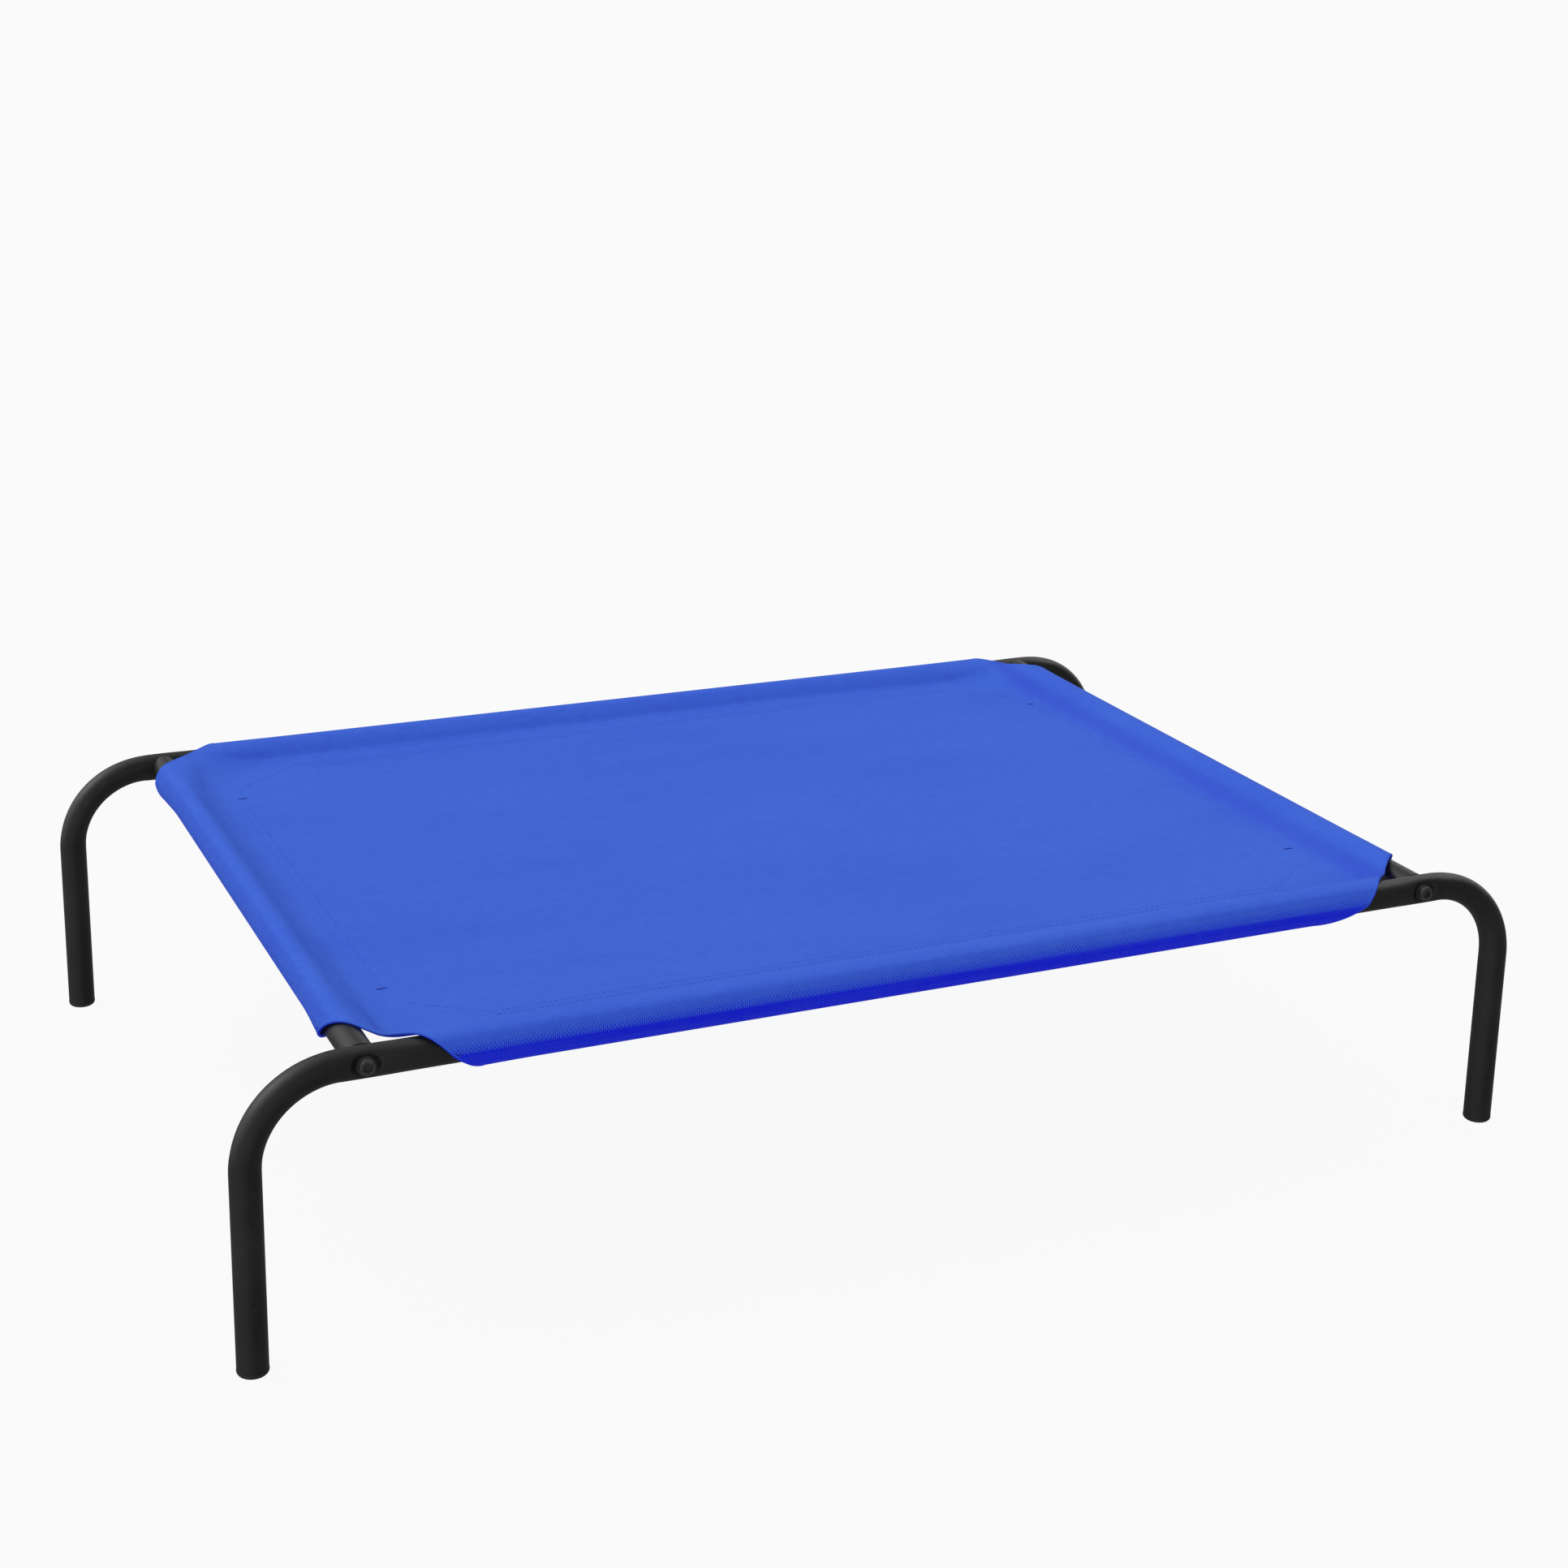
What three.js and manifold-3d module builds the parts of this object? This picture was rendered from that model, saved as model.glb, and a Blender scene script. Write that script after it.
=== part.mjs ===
// Raised dog bed: two bent tube leg frames, two cross bars bolted between them, and a woven
// cover that is stretched over the four tubes. Millimetres, +Z up. The origin is on the floor
// at the middle of the footprint, with X along the long rails and Y along the cross bars.
import * as THREE from 'three';
import { mergeVertices } from 'three/addons/utils/BufferGeometryUtils.js';
import Module from 'manifold-3d';

const wasm = await Module();
wasm.setup();

// Frame
const TUBE_RADIUS = 9.5;
const TUBE_WALL = 1.2;
const LEG_SPACING = 878; // along X, between leg centrelines
const RAIL_SPACING = 567; // along Y, between rail centrelines
const RAIL_HEIGHT = 184; // floor to rail centreline
const BEND_RADIUS = 57; // of the tube's centreline
const BAR_X = 369; // cross bar centreline, either side of the middle
const BAR_END_SETBACK = 3; // the horns of a bar's saddle end stop this short of the rail's middle

// Feet
const FOOT_HEIGHT = 3.6;
const FOOT_EDGE_RADIUS = 2.6;
const FOOT_STEM_TOP = 20;
const FOOT_STEM_WALL = 1.8;

// Fasteners
const BOLT_RADIUS = 3;
const BOLT_LENGTH = 35;
const HEAD_RADIUS = 5;
const HEAD_HEIGHT = 4;
const SOCKET_FLATS = 5;
const SOCKET_DEPTH = 2.4;
const WASHER_RADIUS = 5.5;
const WASHER_THICKNESS = 0.8;
const SEAT_RADIUS = 7.2; // of the round seat pressed into the rail under each bolt head
const SEAT_REACH = 5.2; // rail centreline to the seat's floor
const INSERT_LENGTH = 18;
const INSERT_SETBACK = 12.5; // rail centreline to the insert's outer face

// Cover
const CLOTH = 1.2;
const SLEEVE_SLACK = 0.9; // between tube and sleeve
const SEAM_OFFSET = 36; // rail or bar centreline to the sleeve's seam
const SEAM_WIDTH = 4;
const CORNER_CUT = 251; // where the 45 degree corner cut crosses a cross bar's top, in Y

const GAP = 0.3; // clearance between pieces that touch
const ROUND_SIDES = 32;
const BEND_STEPS = 9;
const SIDES = [['left', -1], ['right', 1]];
const ROWS = [['front', -1], ['back', 1]];

const bed = new THREE.Group();

// Materials

const finish = (color, roughness, metalness) => (
  () => new THREE.MeshStandardMaterial({ color, roughness, metalness })
);
const frameBlack = finish(0x2b2b2c, 0.5, 0.1);
const plugBlack = finish(0x262626, 0.7, 0);
const boltBlack = finish(0x1c1c1d, 0.45, 0.6);
const zincSteel = finish(0xa9abad, 0.4, 0.9);
const blueCloth = finish(0x2440c8, 0.85, 0);

// Solids

function toSolid(geometry) {
  const bare = geometry.clone();
  bare.deleteAttribute('normal');
  bare.deleteAttribute('uv');
  const merged = mergeVertices(bare, 1e-4);
  return new wasm.Manifold(new wasm.Mesh({
    numProp: 3,
    vertProperties: new Float32Array(merged.attributes.position.array),
    triVerts: new Uint32Array(merged.index.array),
  }));
}

function toGeometry(solid) {
  const mesh = solid.getMesh();
  const geometry = new THREE.BufferGeometry();
  geometry.setAttribute('position', new THREE.Float32BufferAttribute(mesh.vertProperties, 3));
  geometry.setIndex(new THREE.Uint32BufferAttribute(mesh.triVerts, 1));
  return geometry;
}

function cut(geometry, ...cutters) {
  const whole = toSolid(geometry);
  return toGeometry(cutters.reduce((solid, cutter) => solid.subtract(toSolid(cutter)), whole));
}

function addMesh(name, geometry, material, position = [0, 0, 0]) {
  const mesh = new THREE.Mesh(geometry, material);
  mesh.name = name;
  mesh.position.set(...position);
  bed.add(mesh);
}

// Solid rods, for cutting holes and saddles.
function rodAlongY(radius, length, sides = ROUND_SIDES) {
  return new THREE.CylinderGeometry(radius, radius, length, sides);
}

const rodAlongX = (radius, length) => rodAlongY(radius, length).rotateZ(Math.PI / 2);

function ringShape(outer, inner) {
  const shape = new THREE.Shape().absarc(0, 0, outer, 0, 2 * Math.PI, false);
  shape.holes.push(new THREE.Path().absarc(0, 0, inner, 0, 2 * Math.PI, true));
  return shape;
}

// A ring or other section in XZ, extruded along Y with its middle at the origin.
function extrudeAlongY(shape, length) {
  const options = { depth: length, bevelEnabled: false, curveSegments: ROUND_SIDES / 2 };
  return new THREE.ExtrudeGeometry(shape, options).rotateX(Math.PI / 2).translate(0, length / 2, 0);
}

// A leg frame's centreline: up one leg, round a bend, along the rail, round the other bend and
// down. Each straight run is one step, and each bend is BEND_STEPS steps.
class LegFramePath extends THREE.Curve {
  constructor() {
    super();
    this.stations = [this.station(-LEG_SPACING / 2, FOOT_HEIGHT + GAP, Math.PI / 2)];
    for (const [side, first] of [[-1, Math.PI / 2], [1, 0]]) {
      const middle = [side * (LEG_SPACING / 2 - BEND_RADIUS), RAIL_HEIGHT - BEND_RADIUS];
      for (let i = 0; i <= BEND_STEPS; i += 1) {
        const heading = first - (i / BEND_STEPS) * (Math.PI / 2);
        const x = middle[0] - BEND_RADIUS * Math.sin(heading);
        const z = middle[1] + BEND_RADIUS * Math.cos(heading);
        this.stations.push(this.station(x, z, heading));
      }
    }
    this.stations.push(this.station(LEG_SPACING / 2, FOOT_HEIGHT + GAP, -Math.PI / 2));
  }

  station(x, z, heading) {
    return {
      point: new THREE.Vector3(x, 0, z),
      tangent: new THREE.Vector3(Math.cos(heading), 0, Math.sin(heading)),
    };
  }

  at(t) {
    return this.stations[Math.round(t * (this.stations.length - 1))];
  }

  getPoint(t) {
    return this.at(t).point.clone();
  }

  getTangent(t) {
    return this.at(t).tangent.clone();
  }

  getUtoTmapping(u) {
    return u;
  }
}

// Frame pieces

// The cup that a seat's floor and sides form inside the rail, within the tube's outer surface.
function seatCup() {
  const inside = SEAT_REACH - TUBE_WALL;
  const cup = toSolid(rodAlongY(SEAT_RADIUS + TUBE_WALL, TUBE_RADIUS)
    .translate(0, -inside - TUBE_RADIUS / 2, 0));
  return cup.intersect(toSolid(rodAlongX(TUBE_RADIUS - 0.05, 4 * TUBE_RADIUS)));
}

// A leg frame whose bolt seats face -Y.
function legFrame() {
  const path = new LegFramePath();
  const tube = new THREE.ExtrudeGeometry(ringShape(TUBE_RADIUS, TUBE_RADIUS - TUBE_WALL), {
    extrudePath: path,
    steps: path.stations.length - 1,
    curveSegments: ROUND_SIDES / 2,
  });
  const seat = toSolid(rodAlongY(SEAT_RADIUS, TUBE_RADIUS)
    .translate(0, -SEAT_REACH - TUBE_RADIUS / 2, 0));
  const hole = toSolid(rodAlongY(BOLT_RADIUS + GAP, 3 * TUBE_RADIUS));
  return toGeometry(SIDES.reduce((solid, [, side]) => {
    const place = [side * BAR_X, 0, RAIL_HEIGHT];
    return solid.add(seatCup().translate(place))
      .subtract(seat.translate(place))
      .subtract(hole.translate(place));
  }, toSolid(tube)));
}

function crossBar() {
  const bar = extrudeAlongY(
    ringShape(TUBE_RADIUS, TUBE_RADIUS - TUBE_WALL),
    RAIL_SPACING - 2 * BAR_END_SETBACK,
  );
  const saddles = ROWS.map(([, row]) => rodAlongX(TUBE_RADIUS + GAP, 4 * TUBE_RADIUS)
    .translate(0, row * RAIL_SPACING / 2, 0));
  return cut(bar, ...saddles);
}

// A hollow plug: a flange with a rounded edge that stands on the floor, and a stem in the leg.
function footPlug() {
  const stem = TUBE_RADIUS - TUBE_WALL - GAP;
  const outline = new THREE.Path();
  outline.moveTo(0, 0);
  outline.lineTo(TUBE_RADIUS - FOOT_EDGE_RADIUS, 0);
  const edge = [TUBE_RADIUS - FOOT_EDGE_RADIUS, FOOT_EDGE_RADIUS];
  outline.absarc(...edge, FOOT_EDGE_RADIUS, -Math.PI / 2, 0, false);
  outline.lineTo(TUBE_RADIUS, FOOT_HEIGHT);
  outline.lineTo(stem, FOOT_HEIGHT);
  outline.lineTo(stem, FOOT_STEM_TOP);
  outline.lineTo(stem - FOOT_STEM_WALL, FOOT_STEM_TOP);
  outline.lineTo(stem - FOOT_STEM_WALL, FOOT_HEIGHT);
  outline.lineTo(0, FOOT_HEIGHT);
  return new THREE.LatheGeometry(outline.getPoints(2), ROUND_SIDES).rotateX(Math.PI / 2);
}

// Fasteners, each made along +Y with its head or outer face towards -Y

// A socket head cap screw, with the underside of its head at the origin.
function bolt() {
  const chamfer = 0.6;
  const profile = [
    [0, -HEAD_HEIGHT],
    [HEAD_RADIUS - chamfer, -HEAD_HEIGHT],
    [HEAD_RADIUS, -HEAD_HEIGHT + chamfer],
    [HEAD_RADIUS, 0],
    [BOLT_RADIUS, 0],
    [BOLT_RADIUS, BOLT_LENGTH - chamfer],
    [BOLT_RADIUS - chamfer, BOLT_LENGTH],
    [0, BOLT_LENGTH],
  ].map(([r, y]) => new THREE.Vector2(r, y));
  const socketRadius = SOCKET_FLATS / Math.sqrt(3);
  const socket = rodAlongY(socketRadius, 2 * SOCKET_DEPTH, 6).translate(0, -HEAD_HEIGHT, 0);
  return cut(new THREE.LatheGeometry(profile, ROUND_SIDES / 2), socket);
}

const washer = () => extrudeAlongY(ringShape(WASHER_RADIUS, BOLT_RADIUS + GAP), WASHER_THICKNESS);

const threadedInsert = () => extrudeAlongY(
  ringShape(TUBE_RADIUS - TUBE_WALL - GAP, BOLT_RADIUS + GAP),
  INSERT_LENGTH,
);

// Cover pieces

// The section of a sleeve: a loop round the tube at the origin, closed by its seam at +X.
function sleeveShape() {
  const inner = TUBE_RADIUS + SLEEVE_SLACK;
  const outer = inner + CLOTH;
  const loopEnd = SEAM_OFFSET - SEAM_WIDTH;
  const outerTurn = Math.acos(outer / SEAM_OFFSET);
  const innerTurn = Math.acos(inner / loopEnd);
  const shape = new THREE.Shape();
  shape.moveTo(SEAM_OFFSET, -CLOTH);
  shape.lineTo(SEAM_OFFSET, CLOTH);
  shape.absarc(0, 0, outer, outerTurn, 2 * Math.PI - outerTurn, false);
  const loop = new THREE.Path();
  loop.moveTo(loopEnd, 0);
  loop.lineTo(inner * Math.cos(innerTurn), -inner * Math.sin(innerTurn));
  loop.absarc(0, 0, inner, -innerTurn, innerTurn - 2 * Math.PI, true);
  shape.holes.push(loop);
  return shape;
}

// What is cut away at one end of a sleeve along Y whose seam is at +X. Above the tube's middle
// the cover is cut at 45 degrees and mitred against its neighbour, and the hem below leans the
// other way. topReach and mitreReach are where those lines cross the tube's middle.
function sleeveEndCutters(topReach, mitreReach, end) {
  const far = 100;
  const outside = TUBE_RADIUS + SLEEVE_SLACK + CLOTH;
  const corner = (mitreReach - topReach) / 2;
  const above = [[-far, topReach - far], [corner, topReach + corner], [far, mitreReach - far]];
  const below = [[-far, topReach - 2 * outside + far], [far, topReach - 2 * outside - far]];
  return [[above, 0], [below, -far]].map(([edge, bottom]) => {
    const outline = [...edge, [far, topReach + 2 * far], [-far, topReach + 2 * far]];
    const shape = new THREE.Shape(outline.map(([x, y]) => new THREE.Vector2(x, end * y)));
    const options = { depth: far, bevelEnabled: false };
    return new THREE.ExtrudeGeometry(shape, options).translate(0, 0, bottom);
  });
}

function sleeve(topReach, mitreReach) {
  const cutters = [-1, 1].flatMap((end) => sleeveEndCutters(topReach, mitreReach - GAP, end));
  return cut(extrudeAlongY(sleeveShape(), topReach + mitreReach), ...cutters);
}

const sleepingPanel = () => new THREE.BoxGeometry(
  2 * (BAR_X - SEAM_OFFSET - GAP),
  RAIL_SPACING - 2 * (SEAM_OFFSET + GAP),
  CLOTH,
);

// Assembly

for (const [row, sign] of ROWS) {
  const geometry = sign < 0 ? legFrame() : legFrame().rotateZ(Math.PI);
  addMesh(`${row}_leg_frame`, geometry, frameBlack(), [0, sign * RAIL_SPACING / 2, 0]);
}

for (const [side, sign] of SIDES) {
  addMesh(`${side}_cross_bar`, crossBar(), frameBlack(), [sign * BAR_X, 0, RAIL_HEIGHT]);
}

for (const [row, ySign] of ROWS) {
  for (const [side, xSign] of SIDES) {
    const corner = `${row}_${side}`;
    const inward = (geometry) => (ySign < 0 ? geometry : geometry.rotateZ(Math.PI));
    const at = (fromRail) => [xSign * BAR_X, ySign * (RAIL_SPACING / 2 + fromRail), RAIL_HEIGHT];
    const washerSeat = SEAT_REACH + GAP;
    const headSeat = washerSeat + WASHER_THICKNESS + GAP;
    addMesh(`${corner}_foot_plug`, footPlug(), plugBlack(),
      [xSign * LEG_SPACING / 2, ySign * RAIL_SPACING / 2, 0]);
    addMesh(`${corner}_bolt`, inward(bolt()), boltBlack(), at(headSeat));
    addMesh(`${corner}_washer`, washer(), boltBlack(), at(washerSeat + WASHER_THICKNESS / 2));
    addMesh(`${corner}_threaded_insert`, threadedInsert(), zincSteel(),
      at(-INSERT_SETBACK - INSERT_LENGTH / 2));
  }
}

addMesh('sleeping_panel', sleepingPanel(), blueCloth(), [0, 0, RAIL_HEIGHT]);
for (const [row, sign] of ROWS) {
  const geometry = sleeve(BAR_X - RAIL_SPACING / 2 + CORNER_CUT, BAR_X).rotateZ(-sign * Math.PI / 2);
  addMesh(`${row}_sleeve`, geometry, blueCloth(), [0, sign * RAIL_SPACING / 2, RAIL_HEIGHT]);
}
for (const [side, sign] of SIDES) {
  const geometry = sleeve(CORNER_CUT, RAIL_SPACING / 2);
  if (sign > 0) geometry.rotateZ(Math.PI);
  addMesh(`${side}_sleeve`, geometry, blueCloth(), [sign * BAR_X, 0, RAIL_HEIGHT]);
}

export default bed;
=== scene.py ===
import math

import bmesh
import bpy
import numpy as np
from mathutils import Matrix, Vector


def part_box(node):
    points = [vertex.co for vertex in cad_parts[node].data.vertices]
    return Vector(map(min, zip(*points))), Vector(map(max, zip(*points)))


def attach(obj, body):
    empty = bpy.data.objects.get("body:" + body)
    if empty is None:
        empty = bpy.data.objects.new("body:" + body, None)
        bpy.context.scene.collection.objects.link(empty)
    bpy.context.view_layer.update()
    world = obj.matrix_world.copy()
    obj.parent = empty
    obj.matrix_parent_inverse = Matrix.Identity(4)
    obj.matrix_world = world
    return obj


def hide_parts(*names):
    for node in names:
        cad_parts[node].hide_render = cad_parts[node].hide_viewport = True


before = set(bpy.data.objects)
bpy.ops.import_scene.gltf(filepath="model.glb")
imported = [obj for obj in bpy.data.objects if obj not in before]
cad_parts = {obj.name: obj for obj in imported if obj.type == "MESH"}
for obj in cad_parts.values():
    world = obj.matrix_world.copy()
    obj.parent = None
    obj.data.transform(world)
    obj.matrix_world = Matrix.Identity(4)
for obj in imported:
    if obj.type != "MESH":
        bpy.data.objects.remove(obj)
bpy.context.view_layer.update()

SCENE = bpy.context.scene
MM = 0.001

# ---- sizes from the frame

LOW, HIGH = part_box("back_leg_frame")
TUBE = (HIGH.y - LOW.y) / 2  # the tubes' outer radius
RAIL_Y = (HIGH.y + LOW.y) / 2
RAIL_Z = HIGH.z - TUBE
LEG_X = HIGH.x - TUBE
LEG_BOTTOM = LOW.z
BAR_LOW, BAR_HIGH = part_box("right_cross_bar")
BAR_X = (BAR_LOW + BAR_HIGH).x / 2
SEAM_REACH = BAR_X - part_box("right_sleeve")[0].x  # tube centreline to the CAD seam
CUT_Y = 2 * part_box("right_sleeve")[1].y - RAIL_Y  # where the corner cut crosses a bar's top
BOLT_LOW, BOLT_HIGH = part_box("back_right_bolt")
HEAD_TOP = BOLT_HIGH.y - RAIL_Y  # distances from the rail's centreline, outwards
BOLT_TIP = BOLT_LOW.y - RAIL_Y
HEAD_RADIUS = (BOLT_HIGH.z - BOLT_LOW.z) / 2
WASHER_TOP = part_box("back_right_washer")[1].y - RAIL_Y
WASHER_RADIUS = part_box("back_right_washer")[1].z - RAIL_Z
PLUG_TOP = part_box("back_right_foot_plug")[1].z

BEND = 57 * MM  # radius of the tubes' centreline
WALL = 1.2 * MM
CORNERS = [(row, side) for row in ("front", "back") for side in ("left", "right")]
SIGN = {"front": -1, "back": 1, "left": -1, "right": 1}

# ---- small tools


def smoothstep(x):
    x = np.clip(x, 0, 1)
    return x * x * (3 - 2 * x)


def bump_at(x, centre, width):
    """A bell curve of height 1."""
    return np.exp(-(((x - centre) / width) ** 2))


def piece(name, verts, faces, material, replaced=(), sharp=None):
    """A mesh piece that rides on the frame. sharp is the angle, in degrees, of a hard edge."""
    mesh = bpy.data.meshes.new(name)
    mesh.from_pydata(np.asarray(verts, float).tolist(), [], [tuple(map(int, f)) for f in faces])
    shell = bmesh.new()
    shell.from_mesh(mesh)
    bmesh.ops.recalc_face_normals(shell, faces=shell.faces)
    shell.to_mesh(mesh)
    shell.free()
    mesh.polygons.foreach_set("use_smooth", [True] * len(mesh.polygons))
    if sharp:
        mesh.set_sharp_from_angle(angle=math.radians(sharp))
    mesh.materials.append(material)
    made = bpy.data.objects.new(name, mesh)
    SCENE.collection.objects.link(made)
    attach(made, "root")
    if replaced:
        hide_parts(*replaced)
    return made


def ring_faces(rings, sides, first=0, closed=False, capped=False):
    """Quads between consecutive rings of vertices. closed joins the last ring to the first, and
    capped fills both ends. piece() turns the faces outwards."""
    faces = []
    for i in range(rings if closed else rings - 1):
        a, b = first + i * sides, first + (i + 1) % rings * sides
        faces += [(a + j, a + (j + 1) % sides, b + (j + 1) % sides, b + j) for j in range(sides)]
    if capped:
        faces += [tuple(range(end, end + sides)) for end in (first, first + (rings - 1) * sides)]
    return faces


def full_turn(sides):
    """The angles of the sides of a ring."""
    return np.arange(sides) * 2 * math.pi / sides


def unit(vectors):
    return vectors / np.linalg.norm(vectors, axis=-1, keepdims=True)


def turned(profile, sides, **ends):
    """Vertices and faces of a shape turned about Z from (radius, height) pairs."""
    verts = [(r * math.cos(t), r * math.sin(t), h) for r, h in profile for t in full_turn(sides)]
    return np.array(verts), ring_faces(len(profile), sides, **ends)


def arc(centre, radius, start, end, steps):
    """(radius, height) pairs round an arc, angles in degrees."""
    turns = np.radians(np.linspace(start, end, steps + 1))
    return [(centre[0] + radius * math.cos(t), centre[1] + radius * math.sin(t)) for t in turns]


# ---- materials


class Nodes:
    """A short way to write a node material."""

    def __init__(self, name):
        self.material = bpy.data.materials.new(name)
        self.material.use_nodes = True
        self.tree = self.material.node_tree
        self.shader = self.tree.nodes["Principled BSDF"]

    def add(self, kind, **values):
        node = self.tree.nodes.new("ShaderNode" + kind)
        for key, value in values.items():
            if hasattr(node, key):
                setattr(node, key, value)
            else:
                node.inputs[key.replace("_", " ")].default_value = value
        return node

    def link(self, out, socket):
        self.tree.links.new(out, socket)

    def maths(self, operation, a, b=None):
        node = self.tree.nodes.new("ShaderNodeMath")
        node.operation = operation
        for value, socket in zip((a, b), node.inputs):
            if isinstance(value, (int, float)):
                socket.default_value = value
            elif value is not None:
                self.link(value, socket)
        return node.outputs[0]

    def mix(self, factor, a, b):
        node = self.tree.nodes.new("ShaderNodeMix")
        node.data_type = "RGBA"
        sockets = [node.inputs[0], node.inputs[6], node.inputs[7]]
        for value, socket in zip((factor, a, b), sockets):
            if isinstance(value, (int, float)):
                socket.default_value = value
            elif isinstance(value, tuple):
                socket.default_value = (*value, 1)
            else:
                self.link(value, socket)
        return node.outputs[2]

    def noise(self, vector, scale, detail=2.0, roughness=0.5):
        node = self.add("TexNoise", Scale=scale, Detail=detail, Roughness=roughness)
        self.link(vector, node.inputs["Vector"])
        return node.outputs["Fac"]

    def ramp(self, value, low, high, to_low=0.0, to_high=1.0):
        node = self.tree.nodes.new("ShaderNodeMapRange")
        node.interpolation_type = "SMOOTHSTEP"
        for number, key in ((low, 1), (high, 2), (to_low, 3), (to_high, 4)):
            node.inputs[key].default_value = number
        self.link(value, node.inputs[0])
        return node.outputs[0]

    def bump(self, height, strength, distance, below=None):
        node = self.add("Bump", Strength=strength, Distance=distance)
        self.link(height, node.inputs["Height"])
        if below is not None:
            self.link(below, node.inputs["Normal"])
        return node.outputs["Normal"]

    def place(self):
        return self.tree.nodes.new("ShaderNodeTexCoord").outputs["Object"]

    def set(self, **values):
        for key, value in values.items():
            self.shader.inputs[key.replace("_", " ")].default_value = value

    def wire(self, **outputs):
        for key, out in outputs.items():
            self.link(out, self.shader.inputs[key.replace("_", " ")])


def powder_coat():
    """Black powder coat: fine orange peel, faint cloudiness and small paler scuffs."""
    n = Nodes("black_powder_coat")
    at = n.place()
    cloud = n.ramp(n.noise(at, 24, 3), 0.35, 0.7)
    scuff = n.ramp(n.noise(at, 260, 4, 0.7), 0.62, 0.72)
    colour = n.mix(cloud, (0.0045, 0.0045, 0.0047), (0.0075, 0.0075, 0.0078))
    colour = n.mix(n.maths("MULTIPLY", scuff, 0.35), colour, (0.035, 0.035, 0.036))
    roughness = n.maths("ADD", n.maths("MULTIPLY", cloud, 0.06), 0.36)
    peel = n.bump(n.noise(at, 900, 2), 0.22, 0.00025)
    peel = n.bump(n.noise(at, 3800, 1), 0.10, 0.00008, peel)
    n.wire(Base_Color=colour, Roughness=roughness, Normal=peel)
    n.set(Specular_IOR_Level=0.4)
    return n.material


def plug_plastic():
    """Matte black moulded plastic with a fine spark-eroded grain."""
    n = Nodes("black_plug_plastic")
    at = n.place()
    wear = n.ramp(n.noise(at, 180, 4, 0.65), 0.5, 0.75)
    n.wire(
        Base_Color=n.mix(wear, (0.013, 0.013, 0.0135), (0.028, 0.028, 0.029)),
        Roughness=n.maths("ADD", n.maths("MULTIPLY", wear, 0.12), 0.55),
        Normal=n.bump(n.noise(at, 2600, 2), 0.35, 0.0002),
    )
    n.set(Specular_IOR_Level=0.2)
    return n.material


def black_oxide():
    """Black oxide steel: dark, slightly metallic, with brighter rubbed patches."""
    n = Nodes("black_oxide_steel")
    at = n.place()
    rub = n.ramp(n.noise(at, 420, 4, 0.6), 0.55, 0.72)
    n.wire(
        Base_Color=n.mix(rub, (0.03, 0.03, 0.032), (0.075, 0.075, 0.078)),
        Roughness=n.maths("SUBTRACT", 0.44, n.maths("MULTIPLY", rub, 0.12)),
        Normal=n.bump(n.noise(at, 3000, 2), 0.15, 0.0001),
    )
    n.set(Metallic=0.35, Specular_IOR_Level=0.45)
    return n.material


def zinc():
    """Zinc plated steel with a cloudy spangle."""
    n = Nodes("zinc_plate")
    at = n.place()
    cloud = n.noise(at, 500, 3)
    n.wire(
        Base_Color=n.mix(cloud, (0.36, 0.37, 0.38), (0.5, 0.5, 0.5)),
        Roughness=n.maths("ADD", n.maths("MULTIPLY", cloud, 0.2), 0.28),
        Normal=n.bump(n.noise(at, 2500, 2), 0.15, 0.0001),
    )
    n.set(Metallic=1.0)
    return n.material


FLOAT_LENGTH, FLOAT_WIDTH, GAP_WIDTH = 2.6, 1.3, 0.38  # the weave's, in millimetres
DIP_SHADE_REACH = 21 * MM  # from the right bar to the painted shade in the dip beside it
DIP_SHADE_FADE = 15 * MM


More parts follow.
